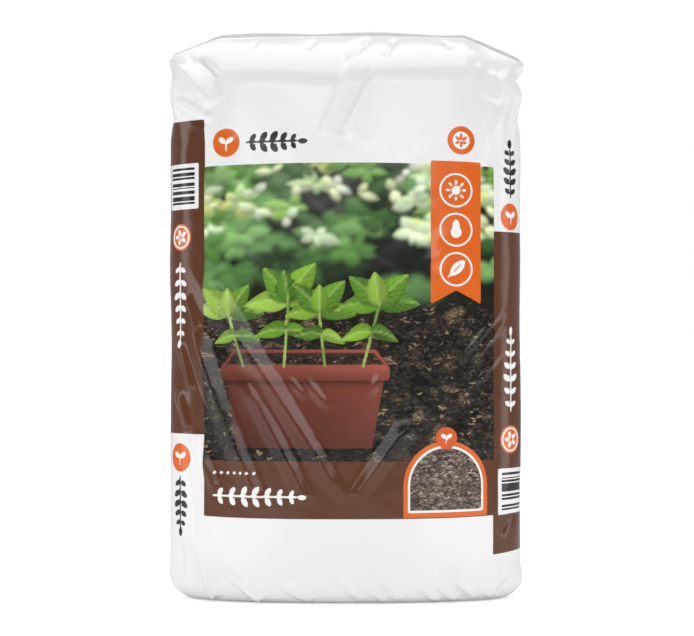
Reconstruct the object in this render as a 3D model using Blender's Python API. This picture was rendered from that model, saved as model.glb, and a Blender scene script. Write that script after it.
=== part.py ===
"""A sealed bag of compost, full and standing on its base.

The bag is one tube of plastic film, welded across the bottom and the top, so it is one solid. The film is
laid out as a grid of rows, from the base up to the edge of the top seal, and columns, once round the tube.
Each row is a section of the bag: a full cushion over most of the height, a rounded base below it, and a
roof above it that closes to the flat top seal, between two ears. Metres, +Z up, the front faces -Y.
"""

import math

import bmesh
import bpy
import numpy as np

# The full bag
BAG_WIDTH = 0.490
BAG_DEPTH = 0.180
BAG_HEIGHT = 0.787  # from the base to the fold of the top seal
SIDE_SQUARENESS = 2.3  # 2 makes the section an ellipse, and more makes it boxier
SETTLE_LOSS = 0.016  # how much thinner the bag is under its roof than at its fullest
FULLEST_HEIGHT = 0.260  # where the settled compost pushes the film out most

# The base, which the weight of the compost flattens
BASE_EDGE_RADIUS = 0.028
BASE_CORNER_RADIUS = 0.040
BASE_CORNER_FADE = 0.190  # height over which the rows straighten above the corners

# The roof, from the full section to the top seal
ROOF_HEIGHT = 0.070
ROOF_STRAIGHTNESS = 0.45  # 0 is a quarter ellipse from front to seal, and 1 is a straight slope
EAR_DROP = 0.034  # how far the seal falls to its two ends
EAR_REACH = 0.080  # how far in from each end it starts to fall
EAR_FADE = 0.115  # height over which the rows straighten below the seal
ROW_BOW = 0.006  # how much higher the rows are in the middle, just under the roof
ROW_BOW_START = 0.430  # height where the rows start to bow

# The dent in each side, under the ear
DENT_DEPTH = 0.016
DENT_BELOW_EAR = 0.052
DENT_HALF_HEIGHT = 0.038
DENT_HALF_WIDTH = 0.017
RIM_RISE = 0.009  # the two edges that stand out beside the dent
RIM_HALF_WIDTH = 0.012

# The welded seals
SEAL_WIDTH = 0.014
SEAL_THICKNESS = 0.0012
SEAL_LEAN = math.radians(16)  # the top seal lies back, this far above level
SEAL_GAP = 0.0006  # between the bottom seal and the film it is folded against
SEAL_OVERLAP = 0.0010  # how far the bottom seal reaches into the film that it hangs from
SEAL_LIFT = 0.0002  # the folded bottom seal stays this far off the floor
BASE_SEAL_INSET = 0.012  # from the end of the flat base to the end of the bottom seal

# Gathers, where the welds draw the film in
TOP_GATHER_DEPTH = 0.0035
TOP_GATHER_PITCH = 0.058
TOP_GATHER_FADE = 0.062
BASE_GATHER_DEPTH = 0.0026
BASE_GATHER_PITCH = 0.047
BASE_GATHER_FADE = 0.055
GATHER_SLANT = 0.55  # sideways shift of a gather for each metre of height

# Printed fields of the front, as heights above the base and widths across it
PANEL_WIDTH = 0.400
PANEL_SHIFT = 0.004
BAND_BOTTOM = 0.119
PICTURE_BOTTOM = 0.195
PICTURE_TOP = 0.603
HORIZON = 0.400  # where the picture turns from soil to leaves
LEFT_STRIP_BOTTOM = 0.231
LEFT_STRIP_TOP = 0.665
RIGHT_STRIP_BOTTOM = 0.067
RIGHT_STRIP_TOP = 0.511

# Size of the grid
ROW_STEP = 0.0145
PANEL_COLUMNS = 28
STRIP_COLUMNS = 5  # from the edge of the panel to the middle of the side
BASE_ROWS = 5
ROOF_ROWS = 8
SEAL_ROWS = 2
ARC_SAMPLES = 4001

HALF_WIDTH = BAG_WIDTH / 2
HALF_DEPTH = BAG_DEPTH / 2
ROOF_FOOT = BAG_HEIGHT - ROOF_HEIGHT

# Tension folds in the front and back film, in metres: where each starts and ends across and up the bag,
# then its height and its half width
FRONT_FOLDS = [
    ((-0.225, 0.738), (-0.150, 0.655), 0.0050, 0.013),
    ((-0.238, 0.700), (-0.185, 0.640), 0.0040, 0.011),
    ((0.228, 0.735), (0.190, 0.610), 0.0045, 0.013),
    ((0.045, 0.790), (-0.030, 0.690), 0.0035, 0.014),
    ((-0.196, 0.450), (-0.060, 0.190), 0.0035, 0.014),
    ((-0.150, 0.200), (-0.090, 0.110), 0.0030, 0.012),
    ((0.150, 0.250), (0.010, 0.140), 0.0035, 0.015),
    ((0.228, 0.440), (0.130, 0.320), 0.0035, 0.013),
    ((-0.215, 0.110), (-0.170, 0.020), 0.0045, 0.012),
    ((-0.080, 0.070), (-0.020, 0.015), 0.0035, 0.013),
    ((0.150, 0.080), (0.200, 0.020), 0.0040, 0.013),
]
BACK_FOLDS = [
    ((-0.225, 0.735), (-0.130, 0.620), 0.0050, 0.014),
    ((0.225, 0.738), (0.150, 0.650), 0.0045, 0.013),
    ((-0.060, 0.780), (0.000, 0.680), 0.0040, 0.014),
    ((0.200, 0.420), (0.060, 0.240), 0.0035, 0.015),
    ((-0.210, 0.340), (-0.100, 0.180), 0.0035, 0.014),
    ((-0.215, 0.110), (-0.165, 0.020), 0.0045, 0.012),
    ((0.210, 0.110), (0.160, 0.020), 0.0045, 0.012),
]


def clear_scene():
    for old in list(bpy.data.objects):
        bpy.data.objects.remove(old)


def new_collection(name):
    made = bpy.data.collections.new(name)
    bpy.context.scene.collection.children.link(made)
    return made


def move_to(obj, collection):
    for holder in list(obj.users_collection):
        holder.objects.unlink(obj)
    collection.objects.link(obj)


def film_material(name, colour, roughness):
    made = bpy.data.materials.new(name)
    made.use_nodes = True
    shader = made.node_tree.nodes["Principled BSDF"]
    shader.inputs["Base Color"].default_value = (*colour, 1)
    shader.inputs["Roughness"].default_value = roughness
    shader.inputs["Metallic"].default_value = 0
    return made


def smooth(value):
    """0 below 0, 1 above 1, and an S-curve between them."""
    value = np.clip(value, 0, 1)
    return value * value * (3 - 2 * value)


def hump(distance, half_width):
    return np.exp(-((distance / half_width) ** 2))


def columns():
    """Where each column lies on the full section, as shares of its half width and half depth.

    The first column is the middle of the left side. The columns then run along the front (a depth share
    of -1), round the right side and back along the rear, evenly spaced along the film in each stretch.
    """
    angle = np.linspace(math.pi, 2 * math.pi, ARC_SAMPLES)
    across = np.sign(np.cos(angle)) * np.abs(np.cos(angle)) ** (2 / SIDE_SQUARENESS)
    deep = np.sin(angle)
    steps = np.hypot(np.diff(across) * HALF_WIDTH, np.diff(deep) * HALF_DEPTH)
    arc = np.concatenate([[0], np.cumsum(steps)])
    left = np.interp((PANEL_SHIFT - PANEL_WIDTH / 2) / HALF_WIDTH, across, arc)
    right = np.interp((PANEL_SHIFT + PANEL_WIDTH / 2) / HALF_WIDTH, across, arc)
    at = np.concatenate([
        np.linspace(0, left, STRIP_COLUMNS, endpoint=False),
        np.linspace(left, right, PANEL_COLUMNS, endpoint=False),
        np.linspace(right, arc[-1], STRIP_COLUMNS + 1),
    ])
    front_across = np.interp(at, arc, across)
    front_deep = np.interp(at, arc, deep)
    front_deep[[0, -1]] = 0
    back_across = front_across[-2:0:-1]
    back_deep = -front_deep[-2:0:-1]
    return np.concatenate([front_across, back_across]), np.concatenate([front_deep, back_deep])


def body_heights():
    """Heights of the rows over the full section. A row lies on each edge of the print."""
    edges = {RIGHT_STRIP_BOTTOM, BAND_BOTTOM, PICTURE_BOTTOM, LEFT_STRIP_BOTTOM, HORIZON, RIGHT_STRIP_TOP,
             PICTURE_TOP, LEFT_STRIP_TOP}
    inside = [edge for edge in sorted(edges) if BASE_CORNER_RADIUS < edge < ROOF_FOOT]
    stops = [BASE_CORNER_RADIUS, *inside, ROOF_FOOT]
    rows = [BASE_CORNER_RADIUS]
    for low, high in zip(stops, stops[1:]):
        count = max(1, round((high - low) / ROW_STEP))
        rows.extend(np.linspace(low, high, count + 1)[1:])
    return np.array(rows)


def bulge(height):
    """Half depth of the full section: most at FULLEST_HEIGHT, and less towards the roof."""
    above = smooth((height - FULLEST_HEIGHT) / (ROOF_FOOT - FULLEST_HEIGHT))
    return HALF_DEPTH - SETTLE_LOSS / 2 * above


def film_grid():
    """Every point of the film, as arrays of rows by columns, and the height that each row has."""
    across, deep = columns()
    side = np.abs(across) ** 4

    # The base: a flat foot that turns up through the edge radius, and a wider one at the corners
    turn = np.linspace(0, math.pi / 2, BASE_ROWS, endpoint=False)[:, None]
    short = 1 - np.sin(turn)
    rise = BASE_EDGE_RADIUS + (BASE_CORNER_RADIUS - BASE_EDGE_RADIUS) * side
    base_x = (HALF_WIDTH - BASE_CORNER_RADIUS * short) * across
    base_y = (bulge(0) - BASE_EDGE_RADIUS * short) * deep
    base_z = rise * (1 - np.cos(turn))

    # The full section, with rows that sag a little in the middle above the base
    heights = body_heights()[:, None]
    fade = np.clip(1 - (heights - BASE_CORNER_RADIUS) / BASE_CORNER_FADE, 0, 1) ** 1.5
    lower = (BASE_CORNER_RADIUS - BASE_EDGE_RADIUS) * (1 - side)
    body_x = HALF_WIDTH * across + 0 * heights
    body_y = bulge(heights) * deep
    body_z = heights - lower * fade

    # The roof: part quarter ellipse and part straight slope, up to the flat seal
    turn = np.linspace(0, math.pi / 2, ROOF_ROWS + 1)[1:, None]
    way = turn / (math.pi / 2)
    depth_left = (1 - ROOF_STRAIGHTNESS) * np.cos(turn) + ROOF_STRAIGHTNESS * (1 - way)
    climb = (1 - ROOF_STRAIGHTNESS) * np.sin(turn) + ROOF_STRAIGHTNESS * way
    roof_x = HALF_WIDTH * across + 0 * turn
    roof_y = bulge(ROOF_FOOT) * deep * depth_left
    roof_z = ROOF_FOOT + ROOF_HEIGHT * climb + 0 * across

    x = np.vstack([base_x, body_x, roof_x])
    y = np.vstack([base_y, body_y, roof_y])
    z = np.vstack([base_z, body_z, roof_z])
    row_heights = np.concatenate([base_z.mean(axis=1), heights[:, 0], roof_z.mean(axis=1)])
    return x, y, z, row_heights


def droop(x, z):
    """How far the film hangs below its row: the ears at the top, and a slight bow under the roof."""
    out = np.clip((np.abs(x) - (HALF_WIDTH - EAR_REACH)) / EAR_REACH, 0, 1) ** 1.15
    near_seal = smooth(1 - (BAG_HEIGHT - z) / EAR_FADE)
    bow = smooth((z - ROW_BOW_START) / (PICTURE_TOP - ROW_BOW_START))
    return EAR_DROP * out * near_seal + ROW_BOW * (x / HALF_WIDTH) ** 2 * bow


def dent_sides(x, y, z):
    """Draws each side in under its ear, and lifts a rim before and behind the dent."""
    centre = BAG_HEIGHT - EAR_DROP - DENT_BELOW_EAR
    here = hump(z - centre, DENT_HALF_HEIGHT)
    hollow = DENT_DEPTH * hump(y, DENT_HALF_WIDTH)
    rim = RIM_RISE * hump(np.abs(y) - (DENT_HALF_WIDTH + RIM_HALF_WIDTH), RIM_HALF_WIDTH)
    at_side = smooth((np.abs(x) / HALF_WIDTH - 0.8) / 0.15)
    return x - np.sign(x) * (hollow - rim) * here * at_side


def fold_height(x, z, folds):
    """Height of the tension folds at each point: a ridge along each line that dies away at its ends."""
    total = np.zeros_like(x)
    for (x0, z0), (x1, z1), height, half_width in folds:
        length = math.hypot(x1 - x0, z1 - z0)
        along = ((x - x0) * (x1 - x0) + (z - z0) * (z1 - z0)) / length ** 2
        off = ((x - x0) * (z1 - z0) - (z - z0) * (x1 - x0)) / length
        total += height * hump(off, half_width) * hump(along - 0.5, 0.42)
    return total


def gather_depth(x, z, deep):
    """Rows of small flutes that fade away from the two welds. They leave the sides smooth."""
    face = np.abs(deep)
    top = TOP_GATHER_DEPTH * hump(np.maximum(BAG_HEIGHT - z, 0), TOP_GATHER_FADE)
    top = top * np.cos(2 * math.pi * (x - GATHER_SLANT * z) / TOP_GATHER_PITCH)
    base = BASE_GATHER_DEPTH * hump(z - BASE_EDGE_RADIUS, BASE_GATHER_FADE)
    base = base * np.cos(2 * math.pi * (x + GATHER_SLANT * z) / BASE_GATHER_PITCH)
    base = base * smooth((z - BASE_EDGE_RADIUS / 2) / BASE_EDGE_RADIUS)
    return (top + base) * face


def shaped_film():
    """The film's points after the droop, the dents, the gathers and the folds."""
    x, y, z, heights = film_grid()
    deep = columns()[1] + 0 * x
    front = deep < 0
    folds = np.where(front, fold_height(x, z, FRONT_FOLDS), fold_height(x, z, BACK_FOLDS))
    closing = smooth((BAG_HEIGHT - z) / (ROOF_HEIGHT / 3))  # none of it reaches the seal itself
    push = (folds * np.abs(deep) + gather_depth(x, z, deep)) * closing
    push = push * smooth(z / BASE_EDGE_RADIUS)
    y = y + push * np.sign(deep)
    x = dent_sides(x, y, z)
    z = z - droop(x, z)
    return x, y, z, heights


def top_seal(x, z):
    """The welded strip above the roof: two layers of film that lie back, SEAL_THICKNESS apart."""
    out = np.linspace(0, SEAL_WIDTH, SEAL_ROWS + 1)[:, None]
    half = SEAL_THICKNESS / 2
    front = np.sign(columns()[1])
    middle_y = out * math.cos(SEAL_LEAN)
    middle_z = z + out * math.sin(SEAL_LEAN)
    seal_y = middle_y + front * half * math.sin(SEAL_LEAN)
    seal_z = middle_z - front * half * math.cos(SEAL_LEAN)
    return x + 0 * out, seal_y, seal_z


def end_cap(bm, ring):
    """Closes a ring of points with a strip of faces from its front to its back."""
    half = len(ring) // 2
    back = [ring[0]] + ring[:half - 1:-1]
    faces = []
    for i in range(half):
        corners = [ring[i], ring[i + 1], back[i + 1], back[i]]
        kept = [v for k, v in enumerate(corners) if v not in corners[:k]]
        faces.append(bm.faces.new(kept))
    return faces


def print_field(x, height, deep):
    """Index of the printed colour at a place on the film: see the list in main."""
    left = PANEL_SHIFT - PANEL_WIDTH / 2
    right = PANEL_SHIFT + PANEL_WIDTH / 2
    if x < left:
        return 1 if LEFT_STRIP_BOTTOM < height < LEFT_STRIP_TOP else 0
    if x > right:
        return 1 if RIGHT_STRIP_BOTTOM < height < RIGHT_STRIP_TOP else 0
    if deep > 0 or not BAND_BOTTOM < height < PICTURE_TOP:
        return 0
    if height < PICTURE_BOTTOM:
        return 1
    return 2 if height < HORIZON else 3


def build_bag(parts):
    x, y, z, heights = shaped_film()
    seal_x, seal_y, seal_z = top_seal(x[-1], z[-1])
    x = np.vstack([x[:-1], seal_x])
    y = np.vstack([y[:-1], seal_y])
    z = np.vstack([z[:-1], seal_z])
    y = y - (y.min() + y.max()) / 2  # the origin is under the middle of the outline
    heights = np.concatenate([heights[:-1], BAG_HEIGHT + 0 * seal_x[:, 0]])
    across, deep = columns()

    bm = bmesh.new()
    rows = [[bm.verts.new(point) for point in zip(*row)] for row in zip(x, y, z)]
    count = len(across)
    for r in range(len(rows) - 1):
        for c in range(count):
            n = (c + 1) % count
            face = bm.faces.new((rows[r][c], rows[r][n], rows[r + 1][n], rows[r + 1][c]))
            middle_x = HALF_WIDTH * (across[c] + across[n]) / 2
            face.material_index = print_field(middle_x, heights[r:r + 2].mean(), deep[c] + deep[n])
    end_cap(bm, rows[0])
    end_cap(bm, rows[-1])
    bmesh.ops.recalc_face_normals(bm, faces=bm.faces)
    mesh = bpy.data.meshes.new("compost_bag")
    bm.to_mesh(mesh)
    bm.free()
    mesh.shade_smooth()
    bag = bpy.data.objects.new("compost_bag", mesh)
    parts.objects.link(bag)
    return bag


def helper_box(name, low, high, cutters):
    """A box from corner to corner that only a Boolean modifier uses."""
    size = [b - a for a, b in zip(low, high)]
    bpy.ops.mesh.primitive_cube_add(size=1, location=[(a + b) / 2 for a, b in zip(low, high)])
    box = bpy.context.object
    box.name = name
    box.scale = size
    bpy.ops.object.transform_apply(location=False, rotation=False, scale=True)
    box.hide_render = True
    box.display_type = "WIRE"
    move_to(box, cutters)
    return box


def boolean(obj, operand, operation):
    step = obj.modifiers.new(operand.name, "BOOLEAN")
    step.operation = operation
    step.solver = "EXACT"
    step.object = operand


def fold_bottom_seal_under(bag, cutters):
    """The bottom weld lies back under the bag, in the hollow that it presses into the compost."""
    reach = HALF_WIDTH - BASE_CORNER_RADIUS - BASE_SEAL_INSET
    ceiling = SEAL_LIFT + SEAL_THICKNESS + SEAL_GAP
    hollow = helper_box("bottom_seal_hollow", (-reach - SEAL_GAP, 0, -0.01),
                        (reach + SEAL_GAP, SEAL_WIDTH + SEAL_GAP, ceiling), cutters)
    seal = helper_box("bottom_seal_film", (-reach, -SEAL_OVERLAP, SEAL_LIFT),
                      (reach, SEAL_WIDTH, SEAL_LIFT + SEAL_THICKNESS), cutters)
    boolean(bag, hollow, "DIFFERENCE")
    boolean(bag, seal, "UNION")


def main():
    clear_scene()
    parts = new_collection("compost_bag")
    cutters = new_collection("cutters")
    bag = build_bag(parts)
    for name, colour, roughness in (
        ("white_film", (0.86, 0.86, 0.86), 0.35),
        ("brown_print", (0.12, 0.045, 0.028), 0.35),
        ("soil_print", (0.07, 0.055, 0.042), 0.35),
        ("leaf_print", (0.16, 0.27, 0.11), 0.35),
    ):
        bag.data.materials.append(film_material(name, colour, roughness))
    fold_bottom_seal_under(bag, cutters)


main()
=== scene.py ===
import math
from functools import partial

import bpy
import numpy as np
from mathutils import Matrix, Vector


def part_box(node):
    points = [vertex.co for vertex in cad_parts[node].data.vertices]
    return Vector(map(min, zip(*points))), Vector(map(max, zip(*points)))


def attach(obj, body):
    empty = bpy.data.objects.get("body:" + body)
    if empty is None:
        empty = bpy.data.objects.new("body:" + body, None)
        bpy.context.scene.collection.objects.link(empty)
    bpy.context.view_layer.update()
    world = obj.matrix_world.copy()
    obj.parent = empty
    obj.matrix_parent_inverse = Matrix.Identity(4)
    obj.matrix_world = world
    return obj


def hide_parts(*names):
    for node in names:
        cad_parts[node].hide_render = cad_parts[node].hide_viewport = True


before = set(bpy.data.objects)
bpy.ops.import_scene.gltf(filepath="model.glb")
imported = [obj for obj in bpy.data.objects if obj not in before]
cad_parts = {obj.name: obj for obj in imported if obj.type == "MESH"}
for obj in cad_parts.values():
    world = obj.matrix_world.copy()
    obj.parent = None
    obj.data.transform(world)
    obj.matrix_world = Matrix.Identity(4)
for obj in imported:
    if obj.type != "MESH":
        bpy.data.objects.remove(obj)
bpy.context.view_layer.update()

bagLow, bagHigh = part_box("compost_bag")
print("frame loaded:", [round(v, 4) for v in (*bagLow, *bagHigh)])

# Film of the bag. The film is a grid: columns once round the tube, rows from the base to the edge of
# the top seal. Sizes are in metres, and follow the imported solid's box.
filmSettings = {
    "pitch": 0.0027,  # grid step at the front, and twice this round the back
    "foldRise": 0.0024,  # how far the solid's folds stand out of its plain section
    "squareness": 2.3,  # exponent across the section: 2 is an ellipse, more is boxier
    "settleLoss": 0.016,  # how much thinner the bag is under its roof than at its fullest
    "fullestHeight": 0.26,
    "baseEdgeRadius": 0.028,
    "baseCornerRadius": 0.04,
    "baseCornerFade": (0.19, 1.5),  # height over which the corners' extra height dies away, and its power
    "cornerPower": 4,  # how late across the bag the corners start
    # How far the foot's left and right corners stand out, where across and up that starts, and over how much
    "foot": {"reach": (0.003, 0.0075), "from": 0.13, "over": 0.07, "top": 0.055, "fade": 0.045},
    "baseCalm": 0.01,  # height below which folds die away
    "baseHollow": 0.0022,  # how far the middle of the base lifts off the floor
    "roofHeight": 0.06,
    "roofStraightness": 0.62,  # 0 is a quarter ellipse, 1 is a straight slope
    "roofFootBlend": 0.012,  # height over which the edge of the roof is softened
    "roofFootPasses": 40,
    "roofEdgeWaves": ((-0.02, -0.006, 0.05), (0.06, 0.004, 0.03), (0.15, 0.008, 0.05)),
    "waveFades": (0.3, 0.06),  # share of the depth, and height under the roof, over which they die away
    "leftEar": {"drop": 0.024, "reach": 0.07, "corner": 0.006, "flare": 0.002},
    "rightEar": {"drop": 0.034, "reach": 0.08, "corner": 0.003, "flare": 0.005},
    "earBend": 1.12,  # 1 is a straight slope to each ear, more is hollow
    "earCorner": 0.01,  # width over which the ear's tip is rounded
    "earFade": 0.115,
    "flareFrom": 0.8,  # share of the half width at which the ear's outward step starts
    "flareFade": 0.03,
    "rowBow": 0.006,  # how much higher the rows are in the middle, just under the roof
    "rowBowStart": 0.43,
    "rowBowEnd": 0.603,
    "sealWidth": 0.014,
    "sealThickness": 0.0012,
    "sealLean": math.radians(25),
    "sealRipple": 0.0012,  # waves of the top seal's free edge
    "rippleTurn": 9.0,  # and their turn from the middle to a side, in radians
}

# Dent in each side under the ear, and its rims
dentSettings = {
    "depth": 0.016,
    "belowSeal": 0.084,  # depth of its middle under the seal
    "earTip": 0.034,  # depth under the seal at which it starts
    "halfHeight": 0.032,
    "halfWidth": 0.017,
    "rimRise": 0.013,
    "rimHalfWidth": 0.012,
    "earClear": 0.034,  # height over which the dent dies away under the ear's tip
    "sideFrom": (0.8, 0.15),  # share of the half width at which it starts, and over which it grows
}

halfWidth = (bagHigh.x - bagLow.x) / 2
halfDepth = (bagHigh.y - bagLow.y) / 2 - filmSettings["foldRise"]
sealHeight = bagHigh.z - filmSettings["sealWidth"] * math.sin(filmSettings["sealLean"])
roofFoot = sealHeight - filmSettings["roofHeight"]


def smooth(value):
    # 3v^2 - 2v^3 between 0 and 1, and flat outside
    value = np.clip(value, 0, 1)
    return value * value * (3 - 2 * value)


def hump(distance, size):
    # Bell curve exp(-(distance / size)^2)
    return np.exp(-(distance / size) ** 2)


def sectionColumns():
    # Walks the full section, |x|^n + y^2 = 1 scaled to the bag, in equal steps of film: along the front
    # from the middle of the left side to the middle of the right, then back along the rear in double
    # steps. Gives the share of the half width, the share of the half depth and the film distance from
    # the middle of the front, plus the number of steps along the front.
    angle = np.linspace(math.pi, 2 * math.pi, 8001)
    across = np.sign(np.cos(angle)) * np.abs(np.cos(angle)) ** (2 / filmSettings["squareness"])
    deep = np.sin(angle)
    steps = np.hypot(np.diff(across) * halfWidth, np.diff(deep) * halfDepth)
    arc = np.concatenate([[0], np.cumsum(steps)])
    count = 2 * round(arc[-1] / filmSettings["pitch"] / 2)
    at = np.linspace(0, arc[-1], count + 1)
    frontAcross = np.interp(at, arc, across)
    frontDeep = np.interp(at, arc, deep)
    frontDeep[[0, -1]] = 0
    backAcross = frontAcross[-3:0:-2]
    backDeep = -frontDeep[-3:0:-2]
    along = np.concatenate([at, arc[-1] + at[2:-1:2]]) - arc[-1] / 2
    return np.concatenate([frontAcross, backAcross]), np.concatenate([frontDeep, backDeep]), along, count


def rowsOfFilm(across, deep):
    # Stacks the rows: a base turned up through a quarter circle that is wider at the corners, the full
    # section, and a roof whose profile is part quarter ellipse and part straight slope. Bell-shaped waves
    # move the roof's front edge up and down. Returns x, y, z and the height of each row on the flat film.
    f = filmSettings
    side = np.abs(across) ** f["cornerPower"]
    extra = f["baseCornerRadius"] - f["baseEdgeRadius"]

    turn = np.linspace(0, math.pi / 2, round(f["baseEdgeRadius"] * math.pi / 2 / f["pitch"]), endpoint=False)
    turn = turn[:, None]
    short = 1 - np.sin(turn)
    baseX = (halfWidth - f["baseCornerRadius"] * short) * across
    baseY = (halfDepth - f["baseEdgeRadius"] * short) * deep
    baseZ = (f["baseEdgeRadius"] + extra * side) * (1 - np.cos(turn))

    count = round((roofFoot - f["baseCornerRadius"]) / f["pitch"])
    height = np.linspace(f["baseCornerRadius"], roofFoot, count + 1)[:, None]
    reach, power = f["baseCornerFade"]
    fade = np.clip(1 - (height - f["baseCornerRadius"]) / reach, 0, 1) ** power
    thinner = smooth((height - f["fullestHeight"]) / (roofFoot - f["fullestHeight"]))
    bodyX = halfWidth * across + 0 * height
    bodyY = (halfDepth - f["settleLoss"] / 2 * thinner) * deep
    bodyZ = height - extra * (1 - side) * fade

    length = math.hypot(halfDepth, f["roofHeight"])
    turn = np.linspace(0, math.pi / 2, round(length / f["pitch"]) + 1)[1:, None]
    way = turn / (math.pi / 2)
    straight = f["roofStraightness"]
    left = (1 - straight) * np.cos(turn) + straight * (1 - way)
    climb = (1 - straight) * np.sin(turn) + straight * way
    wave = sum(rise * hump(across * halfWidth - at, width) for at, rise, width in f["roofEdgeWaves"])
    wave = wave * smooth(-deep / f["waveFades"][0])
    bodyZ = bodyZ + wave * smooth((height - roofFoot) / f["waveFades"][1] + 1)
    roofX = halfWidth * across + 0 * turn
    roofY = (halfDepth - f["settleLoss"] / 2) * deep * left
    roofZ = roofFoot + f["roofHeight"] * climb + wave * (1 - climb)

    level = np.concatenate([baseZ.mean(axis=1), height[:, 0], roofZ.mean(axis=1)])
    parts = ((baseX, bodyX, roofX), (baseY, bodyY, roofY), (baseZ, bodyZ, roofZ))
    return (*[np.vstack(part) for part in parts], level)


def softenRows(grid, level, middle, reach, passes):
    # Moves each row towards the mean of its two neighbours, most at one height, several times
    weight = (0.5 * hump(level - middle, reach))[1:-1, None, None]
    for _ in range(passes):
        mean = (grid[:-2] + grid[2:]) / 2
        grid[1:-1] += weight * (mean - grid[1:-1])
    return grid


def earShape(x, z):
    # Fall and outward step of the film: a slope to each ear that starts at its reach and fades below the
    # seal, a rounded tip, and a bow under the roof that grows with the square of the distance from the
    # middle. Returns both.
    f = filmSettings
    drop, reach, corner, flare = (np.where(x < 0, f["leftEar"][key], f["rightEar"][key])
                                  for key in ("drop", "reach", "corner", "flare"))
    out = np.clip((np.abs(x) - (halfWidth - reach)) / reach, 0, 1) ** f["earBend"]
    tip = smooth((np.abs(x) - (halfWidth - f["earCorner"])) / f["earCorner"]) ** 2
    nearSeal = smooth(1 - (sealHeight - z) / f["earFade"])
    bow = smooth((z - f["rowBowStart"]) / (f["rowBowEnd"] - f["rowBowStart"]))
    fall = (drop * out + corner * tip) * nearSeal + f["rowBow"] * (x / halfWidth) ** 2 * bow
    step = np.sign(x) * flare * smooth((np.abs(x) / halfWidth - f["flareFrom"]) / (1 - f["flareFrom"]))
    return fall, step * smooth(1 - (sealHeight - z) / f["flareFade"])


def sideDent(x, y, z):
    # Bell-shaped hollow in the middle of each side, between two rims, all fading with height
    d = dentSettings
    middle = sealHeight - d["belowSeal"]
    here = hump(z - middle, d["halfHeight"]) * smooth((sealHeight - d["earTip"] - z) / d["earClear"])
    hollow = d["depth"] * hump(y, d["halfWidth"])
    rim = d["rimRise"] * hump(np.abs(y) - (d["halfWidth"] + d["rimHalfWidth"]), d["rimHalfWidth"])
    atSide = smooth((np.abs(x) / halfWidth - d["sideFrom"][0]) / d["sideFrom"][1])
    return x - np.sign(x) * (hollow - rim) * here * atSide


def gridNormals(grid):
    # Cross product of the steps along the columns and up the rows, made unit length
    along = np.roll(grid, -1, axis=1) - np.roll(grid, 1, axis=1)
    normal = np.cross(along, np.gradient(grid, axis=0))
    return normal / np.maximum(np.linalg.norm(normal, axis=2, keepdims=True), 1e-12)


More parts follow.
